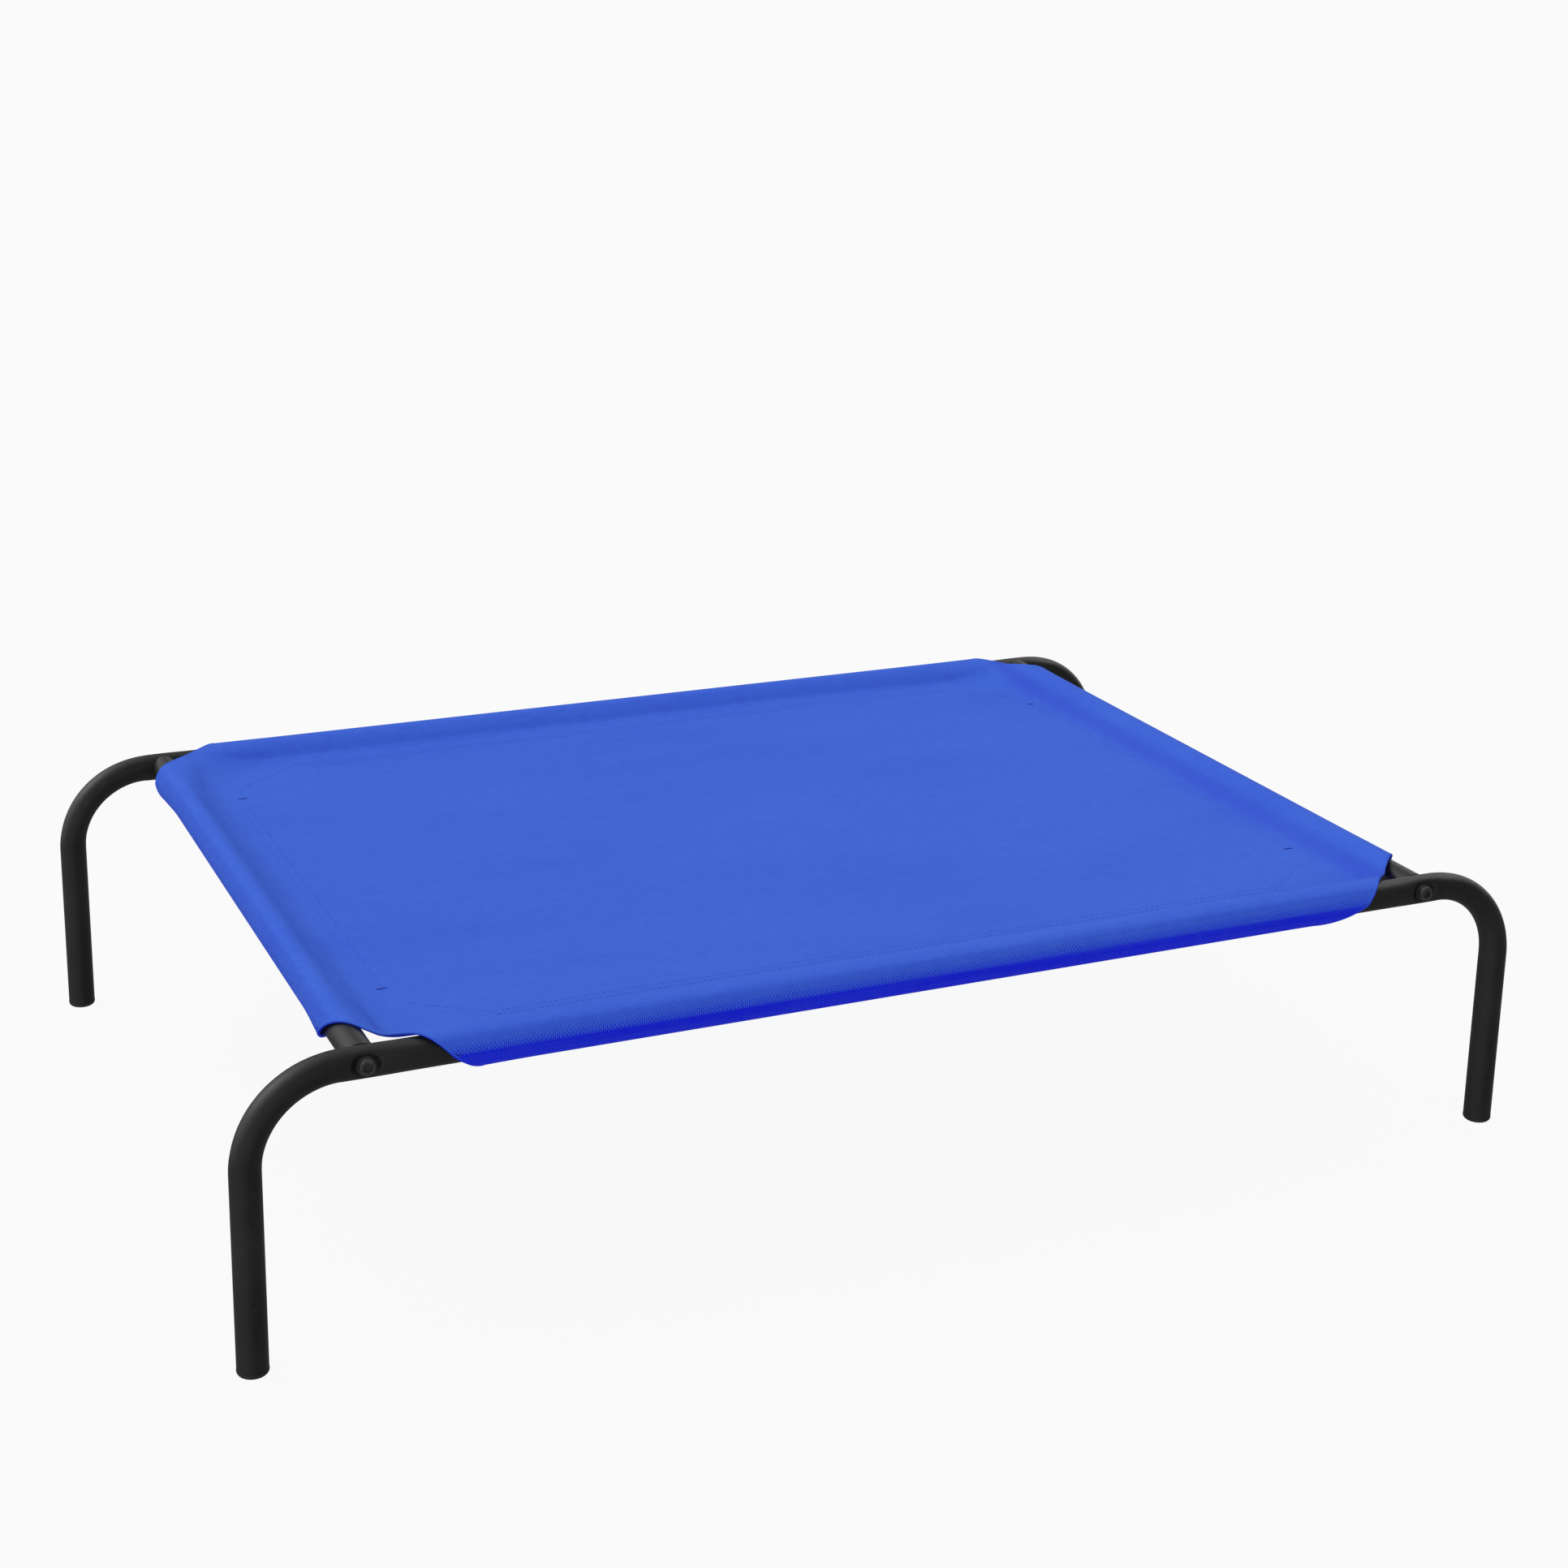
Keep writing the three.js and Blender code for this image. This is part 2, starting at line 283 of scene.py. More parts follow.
def cover_cloth():
    """Blue woven polyester, in long staggered floats that run along Y. The weave follows the
    cloth's flat cut, which the UV map holds in metres. Painted light: faces turned up, and to
    the left, are painted a paler lit blue, and the rest a deep shaded blue. Where the two meet,
    the floats are painted lit first, as painted highlights on them."""
    n = Nodes("blue_woven_cloth")
    flat = n.add("UVMap", uv_map="flat").outputs["UV"]
    at = n.place()
    across = n.add("SeparateXYZ")
    n.link(flat, across.inputs[0])
    swapped = n.add("CombineXYZ")
    n.link(across.outputs["Y"], swapped.inputs["X"])
    n.link(across.outputs["X"], swapped.inputs["Y"])
    scaled = n.add("VectorMath", operation="SCALE", Scale=1 / MM)
    n.link(swapped.outputs[0], scaled.inputs[0])
    weave = n.add(
        "TexBrick", offset=0.5, Scale=1.0, Mortar_Size=GAP_WIDTH, Mortar_Smooth=1.0,
        Brick_Width=FLOAT_LENGTH, Row_Height=FLOAT_WIDTH,
    )
    n.link(scaled.outputs[0], weave.inputs["Vector"])
    weave.inputs["Color1"].default_value = (0, 0, 0, 1)
    weave.inputs["Color2"].default_value = (1, 1, 1, 1)
    yarn_tone, gap = weave.outputs["Color"], weave.outputs["Fac"]
    float_height = n.maths("SUBTRACT", 1.0, gap)
    way = n.add("SeparateXYZ")
    n.link(n.tree.nodes.new("ShaderNodeNewGeometry").outputs["Normal"], way.inputs[0])
    # Painted light: how far a face turns up, and to the left, sets how lit it is painted.
    to_left = n.maths("MAXIMUM", n.maths("MULTIPLY", way.outputs["X"], -0.6), 0.0)
    turned_up = n.maths("ADD", way.outputs["Z"], to_left)
    # Painted highlight: the raised floats reach the painted lit colour before the gaps do.
    raised = n.maths("MULTIPLY", n.maths("SUBTRACT", float_height, 0.75), 0.4)
    painted_float_light = n.ramp(n.maths("ADD", turned_up, raised), 0.06, 0.28, 0.0, 0.9)
    painted_light_share = n.maths("ADD", painted_float_light, n.ramp(turned_up, 0.55, 1.0, 0.0, 0.1))
    # The deep blue is the painted shaded cloth, and the paler blue is the painted lit cloth.
    colour = n.mix(painted_light_share, (0.002, 0.003, 0.62), (0.041, 0.115, 0.562))
    # on_roll marks faces steeper than the top. It sets the gaps' painted shade and the bump's
    # strength.
    on_roll = n.ramp(way.outputs["Z"], 0.70, 0.97, 1.0, 0.0)
    slub = n.add("Mapping", Scale=(9.0, 420.0, 1.0))
    n.link(flat, slub.inputs["Vector"])
    streak = n.ramp(n.noise(slub.outputs[0], 1.0, 3), 0.35, 0.7)
    banded = n.add("Mapping", Scale=(5.0, 15.0, 9.0))
    n.link(at, banded.inputs["Vector"])
    cloud = n.ramp(n.noise(banded.outputs[0], 1.0, 3), 0.3, 0.75)
    blotch = n.ramp(n.noise(at, 120, 3, 0.6), 0.35, 0.7)
    for mask, strength, tint in (
        (cloud, 0.20, (0.018, 0.055, 0.50)),
        (blotch, 0.13, (0.018, 0.045, 0.44)),
        (streak, 0.07, (0.078, 0.17, 0.66)),
        (yarn_tone, 0.08, (0.018, 0.045, 0.40)),
    ):
        colour = n.mix(n.maths("MULTIPLY", mask, strength), colour, tint)
    # Painted shade in the weave's gaps, deeper on the steep roll round the tubes.
    depth = n.maths("ADD", n.maths("MULTIPLY", on_roll, 0.34), 0.08)
    colour = n.mix(n.maths("MULTIPLY", gap, depth), colour, (0.006, 0.012, 0.36))
    # Painted shade along the dip beside the right bar, where the cloth curves down to the tube.
    reach = n.maths("ABSOLUTE", n.maths("SUBTRACT", across.outputs["X"], BAR_X - DIP_SHADE_REACH))
    fold = n.ramp(reach, 0.0, DIP_SHADE_FADE, 0.5, 0.0)
    colour = n.mix(fold, colour, (0.026, 0.058, 0.48))
    fibre = n.maths("MULTIPLY", n.noise(scaled.outputs[0], 2.4, 2), 0.3)
    normal = n.bump(n.maths("ADD", float_height, fibre), 0.5, 0.0004)
    n.link(n.maths("ADD", n.maths("MULTIPLY", on_roll, 0.4), 0.22), normal.node.inputs["Strength"])
    n.wire(Base_Color=colour, Normal=normal)
    n.set(Roughness=0.8, Specular_IOR_Level=0.06)
    n.set(Sheen_Weight=0.02, Sheen_Roughness=0.45, Sheen_Tint=(0.35, 0.75, 1.0, 1))
    return n.material


def thread(name, dark, pale):
    """Bonded polyester sewing thread."""
    n = Nodes(name)
    at = n.place()
    tone = n.ramp(n.noise(at, 900, 2), 0.35, 0.65)
    n.wire(
        Base_Color=n.mix(tone, dark, pale),
        Normal=n.bump(n.noise(at, 5200, 2), 0.3, 0.0001),
    )
    n.set(Roughness=0.8, Specular_IOR_Level=0.1)
    return n.material


COAT, PLUG, OXIDE = powder_coat(), plug_plastic(), black_oxide()
ZINC, CLOTH = zinc(), cover_cloth()
THREAD = thread("blue_thread", (0.036, 0.10, 0.52), (0.041, 0.114, 0.57))
TACK_THREAD = thread("dark_blue_thread", (0.008, 0.02, 0.20), (0.015, 0.035, 0.32))

# ---- tubes

TUBE_SIDES = 72
POCKET_FLOOR = 5.3 * MM  # rail centreline to the flat that each bolt has pressed into the tube
POCKET_RADIUS = 6.1 * MM
POCKET_EDGE = 3.8 * MM
DENT, DENT_REACH = 0.14, 11 * MM  # the shallow dent round the pocket: share of the radius, reach
# Shares by which a bend, and a bolt's squash, change the tube's radius in the bend's plane and
# across it.
BEND_UP, BEND_OUT = -0.028, 0.02
SQUASH_UP, SQUASH_OUT = 0.045, -0.05
SQUASH_REACH = 17 * MM  # along the rail, how far the squash from a bolt fades out
BEND_FADE = 14  # degrees into a bend over which its flattening starts
BEND_STEPS, LEG_STEPS = 36, 13


def hollow(outer, inner):
    """Vertices and faces of a tube with a wall, open at both ends."""
    rings = np.concatenate([outer, inner[::-1]])
    return rings.reshape(-1, 3), ring_faces(len(rings), TUBE_SIDES, closed=True)


def leg_frame_stations():
    """(x, z, heading, how bent) from the left foot over the rail to the right foot."""
    bend_x, bend_z = LEG_X - BEND, RAIL_Z - BEND
    near_bolt = np.arange(-20, 20.1, 0.8) * MM
    rail = np.concatenate([np.linspace(-bend_x, bend_x, 50), BAR_X + near_bolt, -BAR_X + near_bolt])
    rail = np.unique(np.round(rail[abs(rail) <= bend_x], 6))[1:-1]
    leg = np.linspace(LEG_BOTTOM, bend_z, LEG_STEPS + 1)
    stations = [(-LEG_X, z, 90, 0) for z in leg[:-1]]
    for first, side in ((90, -1), (0, 1)):
        for turn in np.linspace(0, 90, BEND_STEPS + 1):
            heading = math.radians(first - turn)
            x = side * bend_x - BEND * math.sin(heading)
            z = bend_z + BEND * math.cos(heading)
            bent = float(smoothstep(min(turn, 90 - turn) / BEND_FADE))
            stations.append((x, z, first - turn, bent))
        if side < 0:
            stations += [(x, RAIL_Z, 0, 0) for x in rail]
    stations += [(LEG_X, z, -90, 0) for z in leg[-2::-1]]
    return np.array(stations)


def leg_frame(row):
    """A bent tube: slightly flattened through its bends, squashed and dimpled by its bolts."""
    x, z, heading, bent = leg_frame_stations().T
    h = np.radians(heading)
    zero = np.zeros_like(h)
    centres = np.stack([x, zero + SIGN[row] * RAIL_Y, z], 1)
    ups = np.stack([-np.sin(h), zero, np.cos(h)], 1)
    outs = np.stack([zero, zero + SIGN[row], zero], 1)
    on_rail = heading == 0
    squash = on_rail * (bump_at(x, BAR_X, SQUASH_REACH) + bump_at(x, -BAR_X, SQUASH_REACH))
    up_scale = 1 + BEND_UP * bent + SQUASH_UP * squash
    out_scale = 1 + BEND_OUT * bent + SQUASH_OUT * squash
    turns = full_turn(TUBE_SIDES)
    skins = []
    for radius in (TUBE, TUBE - WALL):
        reach_up = (radius * up_scale)[:, None] * np.ones(TUBE_SIDES)
        reach_out = (radius * out_scale)[:, None] * np.ones(TUBE_SIDES)
        out = reach_out * np.sin(turns)
        height = reach_up * np.cos(turns)
        floor = POCKET_FLOOR - (TUBE - radius)
        for bolt_x in (-BAR_X, BAR_X):
            away = np.hypot(x[:, None] - bolt_x, height)
            pressed = smoothstep((POCKET_RADIUS + POCKET_EDGE - away) / POCKET_EDGE)
            outside = on_rail[:, None] * (out > 0)
            out = out * (1 - DENT * outside * bump_at(away, 0, DENT_REACH))
            out = out - pressed * outside * np.maximum(out - floor, 0)
        across = ups[:, None] * height[..., None] + outs[:, None] * out[..., None]
        skins.append(centres[:, None] + across)
    verts, faces = hollow(*skins)
    return piece(f"{row}_leg_tube", verts, faces, COAT, [f"{row}_leg_frame"], 50)


# A bar's end is cut to an oval that clears the squashed rail.
NOTCH_UP, NOTCH_OUT, NOTCH_GAP = TUBE * 1.05, TUBE * 0.96, 0.25 * MM
SLIT, SLIT_REACH = 0.9 * MM, 4.5 * MM


def cross_bar(side):
    """A straight tube whose ends are notched to the rail, with a slit left open at the top."""
    turns = full_turn(TUBE_SIDES)
    skins = []
    for radius in (TUBE, TUBE - WALL):
        x, z = radius * np.sin(turns), radius * np.cos(turns)
        slit = SLIT * bump_at(x, 0, SLIT_REACH) * (z > 0)
        notch = NOTCH_OUT * np.sqrt(np.maximum(1 - (z / NOTCH_UP) ** 2, 0)) + NOTCH_GAP + slit
        end = RAIL_Y - notch
        rings = []
        for share in (-1, -0.995, -0.97, -0.9, -0.6, -0.3, 0, 0.3, 0.6, 0.9, 0.97, 0.995, 1):
            straight = share * (RAIL_Y - TUBE)
            y = straight if abs(share) < 0.95 else share * end
            rings.append(np.stack([x + SIGN[side] * BAR_X, y + 0 * x, z + RAIL_Z], 1))
        skins.append(np.array(rings))
    verts, faces = hollow(*skins)
    return piece(f"{side}_bar_tube", verts, faces, COAT, [f"{side}_cross_bar"], 50)


# ---- plugs and fasteners


def foot_plug(row, side):
    """A moulded plug: rounded flange on the floor, ribbed stem in the leg, gate mark below."""
    r, edge, top = TUBE + 0.15 * MM, 2.7 * MM, LEG_BOTTOM - 0.15 * MM
    stem = TUBE - WALL - 0.3 * MM
    profile = [(1.1 * MM, 0.35 * MM), (1.5 * MM, 0.0), (r - edge, 0)]
    profile += arc((r - edge, edge), edge, -90, 0, 10)[1:]
    profile += arc((r - 0.5 * MM, top - 0.5 * MM), 0.5 * MM, 0, 90, 4)
    profile += [(stem, top)]
    ribs = np.linspace(top + 2 * MM, PLUG_TOP - 3 * MM, 5)
    for height in ribs:
        for inwards, up in ((0.5 * MM, 0), (0, 0.4 * MM), (0.5 * MM, 1.2 * MM)):
            profile.append((stem - inwards, height + up))
    profile += [(stem - 1.0 * MM, PLUG_TOP), (stem - 1.9 * MM, PLUG_TOP), (stem - 2.0 * MM, top)]
    verts, faces = turned(profile, 48, capped=True)
    verts = verts + [SIGN[side] * LEG_X, SIGN[row] * RAIL_Y, 0]
    corner = f"{row}_{side}"
    return piece(f"{corner}_plug", verts, faces, PLUG, [f"{corner}_foot_plug"], 35)


def outward(verts, row, side):
    """Turns a shape made along +Z so that Z points out of the rail at a bolt."""
    x, y, z = verts.T
    sign = SIGN[row]
    return np.stack([SIGN[side] * BAR_X - sign * x, sign * (RAIL_Y + z), RAIL_Z + y], 1)


def hexagon(flats, sides):
    """Radius at each of the sides' angles of a hexagon with that distance across its flats."""
    turns = full_turn(sides)
    return flats / 2 / np.cos((turns + math.pi / 6) % (math.pi / 3) - math.pi / 6)


def bolt(row, side):
    """A socket head cap screw with a rounded head, a hexagon socket and a cut thread."""
    sides = 48
    turns = full_turn(sides)
    seat = WASHER_TOP + 0.1 * MM
    shank, pitch, groove, threaded = 3 * MM, 1.0 * MM, 0.5 * MM, 24 * MM
    rings = []

    def ring(radius, height):
        level = np.full(sides, height)
        rings.append(np.stack([radius * np.cos(turns), radius * np.sin(turns), level], 1))

    heights = np.arange(BOLT_TIP, BOLT_TIP + threaded, pitch / 4)
    for k, height in enumerate(heights):
        wave = (height / pitch - turns / (2 * math.pi)) % 1
        depth = groove * (1 - abs(2 * wave - 1))
        fade = min(1.0, (len(heights) - 1 - k) / 6)
        start = max(0.0, 1 - k / 3) * 0.6 * MM
        ring(shank - depth * fade - start, height)
    ring(shank, seat - 1.5 * MM)
    ring(shank + 0.3 * MM, seat)
    for radius, height in arc((HEAD_RADIUS - 0.35 * MM, seat + 0.35 * MM), 0.35 * MM, -90, 0, 3):
        ring(radius, height)
    for radius, height in arc((HEAD_RADIUS - 0.8 * MM, HEAD_TOP - 0.8 * MM), 0.8 * MM, 0, 90, 5):
        ring(radius, height)
    flats, depth = 5 * MM, 2.2 * MM
    for grow, down in ((1.12, 0.0), (1.03, 0.12 * MM), (1.0, 0.4 * MM), (1.0, depth)):
        ring(hexagon(flats, sides) * grow, HEAD_TOP - down)
    ring(1.2 * MM, HEAD_TOP - depth - 0.5 * MM)
    verts = outward(np.concatenate(rings), row, side)
    faces = ring_faces(len(rings), sides, capped=True)
    corner = f"{row}_{side}"
    return piece(f"{corner}_cap_screw", verts, faces, OXIDE, [f"{corner}_bolt"], 32)


def washer(row, side):
    """A plain washer that sits in the pressed pocket, under the bolt's head."""
    inner, outer, soft = 3.3 * MM, WASHER_RADIUS, 0.25 * MM
    low = POCKET_FLOOR + 0.05 * MM
    profile = arc((inner + soft, low + soft), soft, 180, 270, 3)
    profile += arc((outer - soft, low + soft), soft, -90, 0, 4)
    profile += arc((outer - soft, WASHER_TOP - soft), soft, 0, 90, 4)
    profile += arc((inner + soft, WASHER_TOP - soft), soft, 90, 180, 3)
    verts, faces = turned(profile, 40, closed=True)
    verts = outward(verts, row, side)
    corner = f"{row}_{side}"
    return piece(f"{corner}_plain_washer", verts, faces, OXIDE, [f"{corner}_washer"], 40)


# ---- the cover's shape

CLOTH_THICK = 0.9 * MM
SLEEVE = 11.2 * MM  # radius of the cloth's middle surface round a tube
SLEEVE_OUT, SLEEVE_DOWN = 0.1 * MM, 0.3 * MM
SLEEVE_TOP = SLEEVE - SLEEVE_DOWN
# How far each sleeve stands off that radius halfway along, and at its open ends.
SLEEVE_FIT = {
    "left": (-0.6 * MM, 2.0 * MM),
    "right": (1.3 * MM, 2.0 * MM),
    "front": (1.0 * MM, 1.8 * MM),
    "back": (1.3 * MM, 2.2 * MM),
}
FLARE = 70 * MM  # how far from an open end a sleeve starts to widen
FIT_NEAR, FIT_FAR = 12 * MM, 21 * MM  # from the tube's axis, where the fit starts and stops to fade
# How far in a corner's hem is pulled straight, and how fully.
HEM_REACH = {"front": 26 * MM, "back": 44 * MM}
HEM_PULL = {"front": 0.1, "back": 0.9}
RETURN_HEIGHT = -1.15 * MM  # the layer that comes back under the tube, where it is sewn
ROWS = (SEAM_REACH - 2.7 * MM, SEAM_REACH + 3.1 * MM)  # double stitching, from a tube's axis
HEM = SEAM_REACH + 8 * MM
CUT_SHIFT = {"back_left": (11 * MM, -5 * MM)}  # how far a cut's ends are moved: on bar, on rail
# How fast the flaps' ends lean in below a tube's outer side: on the bars, and on the rails.
BAR_SLANT = 1.2
RAIL_SLANT = {"front_left": 1.4, "front_right": 2.4, "back_left": 1.4, "back_right": 1.4}
# Each side's dip: slope at the tube in degrees, where it ends, and its curve's two handles.
DIPS = {
    "left": (29, 29 * MM, 8 * MM, 10 * MM),
    "right": (22, 33 * MM, 12 * MM, 8 * MM),
    "front": (24, 33 * MM, 11 * MM, 9 * MM),
    "back": (27, 30 * MM, 9 * MM, 10 * MM),
}
DIP_STEPS = 60  # points along a dip's curve


class Wrap:
    """One side's path of the cloth: out over a tube, round it, and back below to the seam.
    It is kept as tables of the way along the cloth, the distance out, and the height."""

    def __init__(self, axis, slope, reach, near, far):
        tilt = math.radians(slope)
        centre = np.array([axis + SLEEVE_OUT, -SLEEVE_DOWN])
        start = np.array([axis - reach, 0.0])
        leave = centre + SLEEVE * np.array([-math.sin(tilt), math.cos(tilt)])
        handle = leave - near * np.array([1.0, math.tan(tilt)])
        t = np.linspace(0, 1, DIP_STEPS)[:, None]
        ends = (1 - t) ** 3 * start + t**3 * leave
        dip = ends + 3 * (1 - t) ** 2 * t * (start + [far, 0]) + 3 * (1 - t) * t**2 * handle
        sewn = np.array([axis - ROWS[0] + 1.5 * MM, RETURN_HEIGHT])
        back = sewn - centre
        last = math.atan2(back[1], back[0]) + math.acos(SLEEVE / np.hypot(*back))
        turns = np.linspace(math.pi / 2 + tilt, last, 160)[1:]
        circle = centre + SLEEVE * np.stack([np.cos(turns), np.sin(turns)], 1)
        path = np.concatenate([dip, circle, [sewn, (axis - HEM, RETURN_HEIGHT)]])
        steps = np.hypot(*np.diff(path, axis=0).T)
        self.axis = axis
        self.along = np.concatenate([[0], np.cumsum(steps)]) + start[0]
        self.out, self.height = path.T
        self.dip_start, self.leave = self.along[0], self.along[DIP_STEPS - 1]
        angles = np.concatenate([[math.pi / 2 + tilt], turns])[::-1]
        where = self.along[DIP_STEPS - 1 : -2][::-1]
        self.top, self.outside = np.interp([math.pi / 2, 0], angles, where)
        self.circle_end, self.sewn, self.end = self.along[-3], self.along[-2], self.along[-1]

    def at(self, way):
        """Distance out and height at these distances along the cloth."""
        out = np.where(way < self.dip_start, way, np.interp(way, self.along, self.out))
        return out, np.interp(way, self.along, self.height)

    def upper(self, reach):
        """The way along the cloth to a line at that reach from the tube's axis, on top."""
        if reach >= self.axis - self.dip_start:
            return self.axis - reach
        dip = slice(DIP_STEPS)
        return float(np.interp(self.axis - reach, self.out[dip], self.along[dip]))

    def lower(self, reach):
        """The same on the layer below."""
        return self.sewn + max(self.out[-2] - (self.axis - reach), 0.0)

    def lines(self):
        """Grid lines from the bed's middle to the hem."""
        seam_in, seam_out = self.upper(HEM + 3 * MM), self.upper(ROWS[0] - 3 * MM)
        stops = [0, seam_in, seam_out, self.leave, self.outside, self.circle_end]
        stops += [self.sewn, self.end]
        counts = [int(seam_in / (7 * MM)), 16, 13, 16, 15, 6, 10]
        parts = [[0.0]]
        for start, end, count in zip(stops, stops[1:], counts):
            parts.append(np.linspace(start, end, count + 1)[1:])
        return np.concatenate(parts)


WRAPS = {
    side: Wrap(BAR_X if side in ("left", "right") else RAIL_Y, *dip) for side, dip in DIPS.items()
}


def gentle_noise(x, y, scale, seed):
    """Smooth noise between about -1 and 1, from a few sine waves in seeded directions."""
    draw = np.random.default_rng(seed)
    total = 0
    for _ in range(7):
        turn, shift = draw.uniform(0, 2 * math.pi, 2)
        pitch = scale * draw.uniform(0.6, 1.6)
        way = x * math.cos(turn) + y * math.sin(turn)
        total = total + np.sin(way * 2 * math.pi / pitch + shift)
    return total / 4


# One slanted ridge of the panel, through a place and at a slope, and its shallower folds: height,
# then middle and reach along X, then along Y.
RIDGE_PLACE, RIDGE_SLOPE = (-61.5 * MM, -219 * MM), 0.144
FOLDS = [
    (-1.3 * MM, -120 * MM, 120 * MM, -189 * MM, 16 * MM),
    (0.8 * MM, -130 * MM, 120 * MM, -226 * MM, 10 * MM),
    (-1.2 * MM, 225 * MM, 60 * MM, -218 * MM, 22 * MM),
]


def ripples(x, y):
    """The panel's soft ripples, metres, at places in the bed's plane."""
    ridge = y - RIDGE_PLACE[1] - RIDGE_SLOPE * (x - RIDGE_PLACE[0])
    height = 1.4 * MM * bump_at(ridge, 0, 18 * MM) * bump_at(x, 70 * MM, 190 * MM)
    for fold, fold_x, reach_x, fold_y, reach_y in FOLDS:
        height = height + fold * bump_at(y, fold_y, reach_y) * bump_at(x, fold_x, reach_x)
    height = height + 0.6 * MM * gentle_noise(x * 0.5, y * 1.6, 160 * MM, seed=3)
    height = height + 0.12 * MM * gentle_noise(x, y, 45 * MM, seed=5)
    # A crease runs from each corner towards the middle, and fades before it gets there.
    off_crease = np.abs(x) - np.abs(y) - (BAR_X - RAIL_Y)
    near_corner = smoothstep((np.abs(x) - 220 * MM) / (120 * MM))
    return height - 0.5 * MM * bump_at(off_crease, 0, 20 * MM) * near_corner


def seam_relief(along_seam, reach, seam_end, seed):
    """Cloth stands up between the stitch rows and puckers beside them."""
    sewn = smoothstep((seam_end - np.abs(along_seam)) / (4 * MM))
    crown = bump_at(reach, (ROWS[0] + ROWS[1]) / 2, 1.7 * MM)
    crown = crown + 0.7 * bump_at(reach, HEM - 1.2 * MM, 1.4 * MM)
    rows = bump_at(reach, ROWS[0], 1.0 * MM) + bump_at(reach, ROWS[1], 1.0 * MM)
    beside = bump_at(reach, ROWS[0] - 4 * MM, 4 * MM) + bump_at(reach, ROWS[1] + 7 * MM, 6 * MM)
    pucker = gentle_noise(along_seam, along_seam * 0.3, 11 * MM, seed) * (beside + 0.6 * crown)
    return sewn * (0.16 * MM * crown - 0.08 * MM * rows + 0.14 * MM * pucker)


SHORT_SEAM_END, LONG_SEAM_END = 186 * MM, 279 * MM  # along the bars, and along the rails


def taut_hem(x, y, height, full, reach):
    """Beside a corner's cut the cloth is pulled straight from the bar's top to the rail's."""
    inward = (BAR_X + CUT_Y - x - y) / math.sqrt(2)
    held = (x < BAR_X) & (y < RAIL_Y)
    pull = full * held * smoothstep(1 - np.maximum(inward, 0) / reach)
    return height + pull * (SLEEVE_TOP - height)


def fitted(out, along, height, axis, end, fit):
    """Widens or tightens the sleeve round a tube; returns the new way out and height."""
    halfway, at_end = fit
    radius = np.maximum(np.hypot(out - axis, height), 1e-9)
    not_on_top = 1 - 0.8 * np.maximum(height / radius, 0)
    flare = smoothstep(1 - (end - np.abs(along)) / FLARE) * not_on_top
    stand = halfway + (at_end - halfway) * flare
    share = smoothstep((FIT_FAR - radius) / (FIT_FAR - FIT_NEAR)) * stand / radius
    return out + (out - axis) * share, height + height * share


PANEL_SAG = None  # filled in by the cloth simulation
RISE_FADE, RETURN_FADE = 4 * MM, 6 * MM  # over which the ripples fade, on top and below


def cover_surface(u, v):
    """The cloth's middle surface at flat places u, v, counted from the middle of the bed."""
    x, hx = np.where(u < 0, WRAPS["left"].at(-u), WRAPS["right"].at(np.maximum(u, 0)))
    y, hy = np.where(v < 0, WRAPS["front"].at(-v), WRAPS["back"].at(np.maximum(v, 0)))
    full = np.where(v < 0, HEM_PULL["front"], HEM_PULL["back"])
    reach = np.where(v < 0, HEM_REACH["front"], HEM_REACH["back"])
    height = taut_hem(x, y, hx + hy - hx * hy / SLEEVE_TOP, full, reach)
    upper = (np.abs(u) < BAR_X) & (np.abs(v) < RAIL_Y)
    # The ripples fade where the cloth rises to a tube, and start again where it is back below.
    rise = np.clip(height - np.where(upper, 0, RETURN_HEIGHT), 0, RISE_FADE)
    back = np.where(np.abs(u) < BAR_X, RAIL_Y - y, BAR_X - x) - (ROWS[0] - 8 * MM)
    level = smoothstep(1 - rise / RISE_FADE) * np.where(upper, 1, smoothstep(back / RETURN_FADE))
    height = height + level * ripples(np.where(u < 0, -x, x), np.where(v < 0, -y, y))
    to_bar, to_rail = BAR_X - x, RAIL_Y - y
    relief = np.where(upper, 1, -0.5)  # it stands up on top, and down by half as much below
    height = height + relief * seam_relief(v, to_bar, SHORT_SEAM_END, 11) * (to_bar > 0)
    height = height + relief * seam_relief(u, to_rail, LONG_SEAM_END, 12) * (to_rail > 0)
    if PANEL_SAG is not None:
        height = height + upper * level * sag_at(u, v)
    for side in ("left", "right"):
        new_x, new_height = fitted(x, y, height, BAR_X, CUT_Y, SLEEVE_FIT[side])
        here = (np.sign(u) == SIGN[side]) & (y < RAIL_Y)
        x, height = np.where(here, new_x, x), np.where(here, new_height, height)
    for row in ("front", "back"):
        cut_x = BAR_X + CUT_Y - RAIL_Y
        new_y, new_height = fitted(y, x, height, RAIL_Y, cut_x, SLEEVE_FIT[row])
        here = (np.sign(v) == SIGN[row]) & (x < BAR_X)
        y, height = np.where(here, new_y, y), np.where(here, new_height, height)
    return np.stack([np.where(u < 0, -x, x), np.where(v < 0, -y, y), RAIL_Z + height], -1)


def cover_normal(u, v):
    step = 0.15 * MM
    along_u = cover_surface(u + step, v) - cover_surface(u - step, v)
    along_v = cover_surface(u, v + step) - cover_surface(u, v - step)
    return unit(np.cross(along_u, along_v))


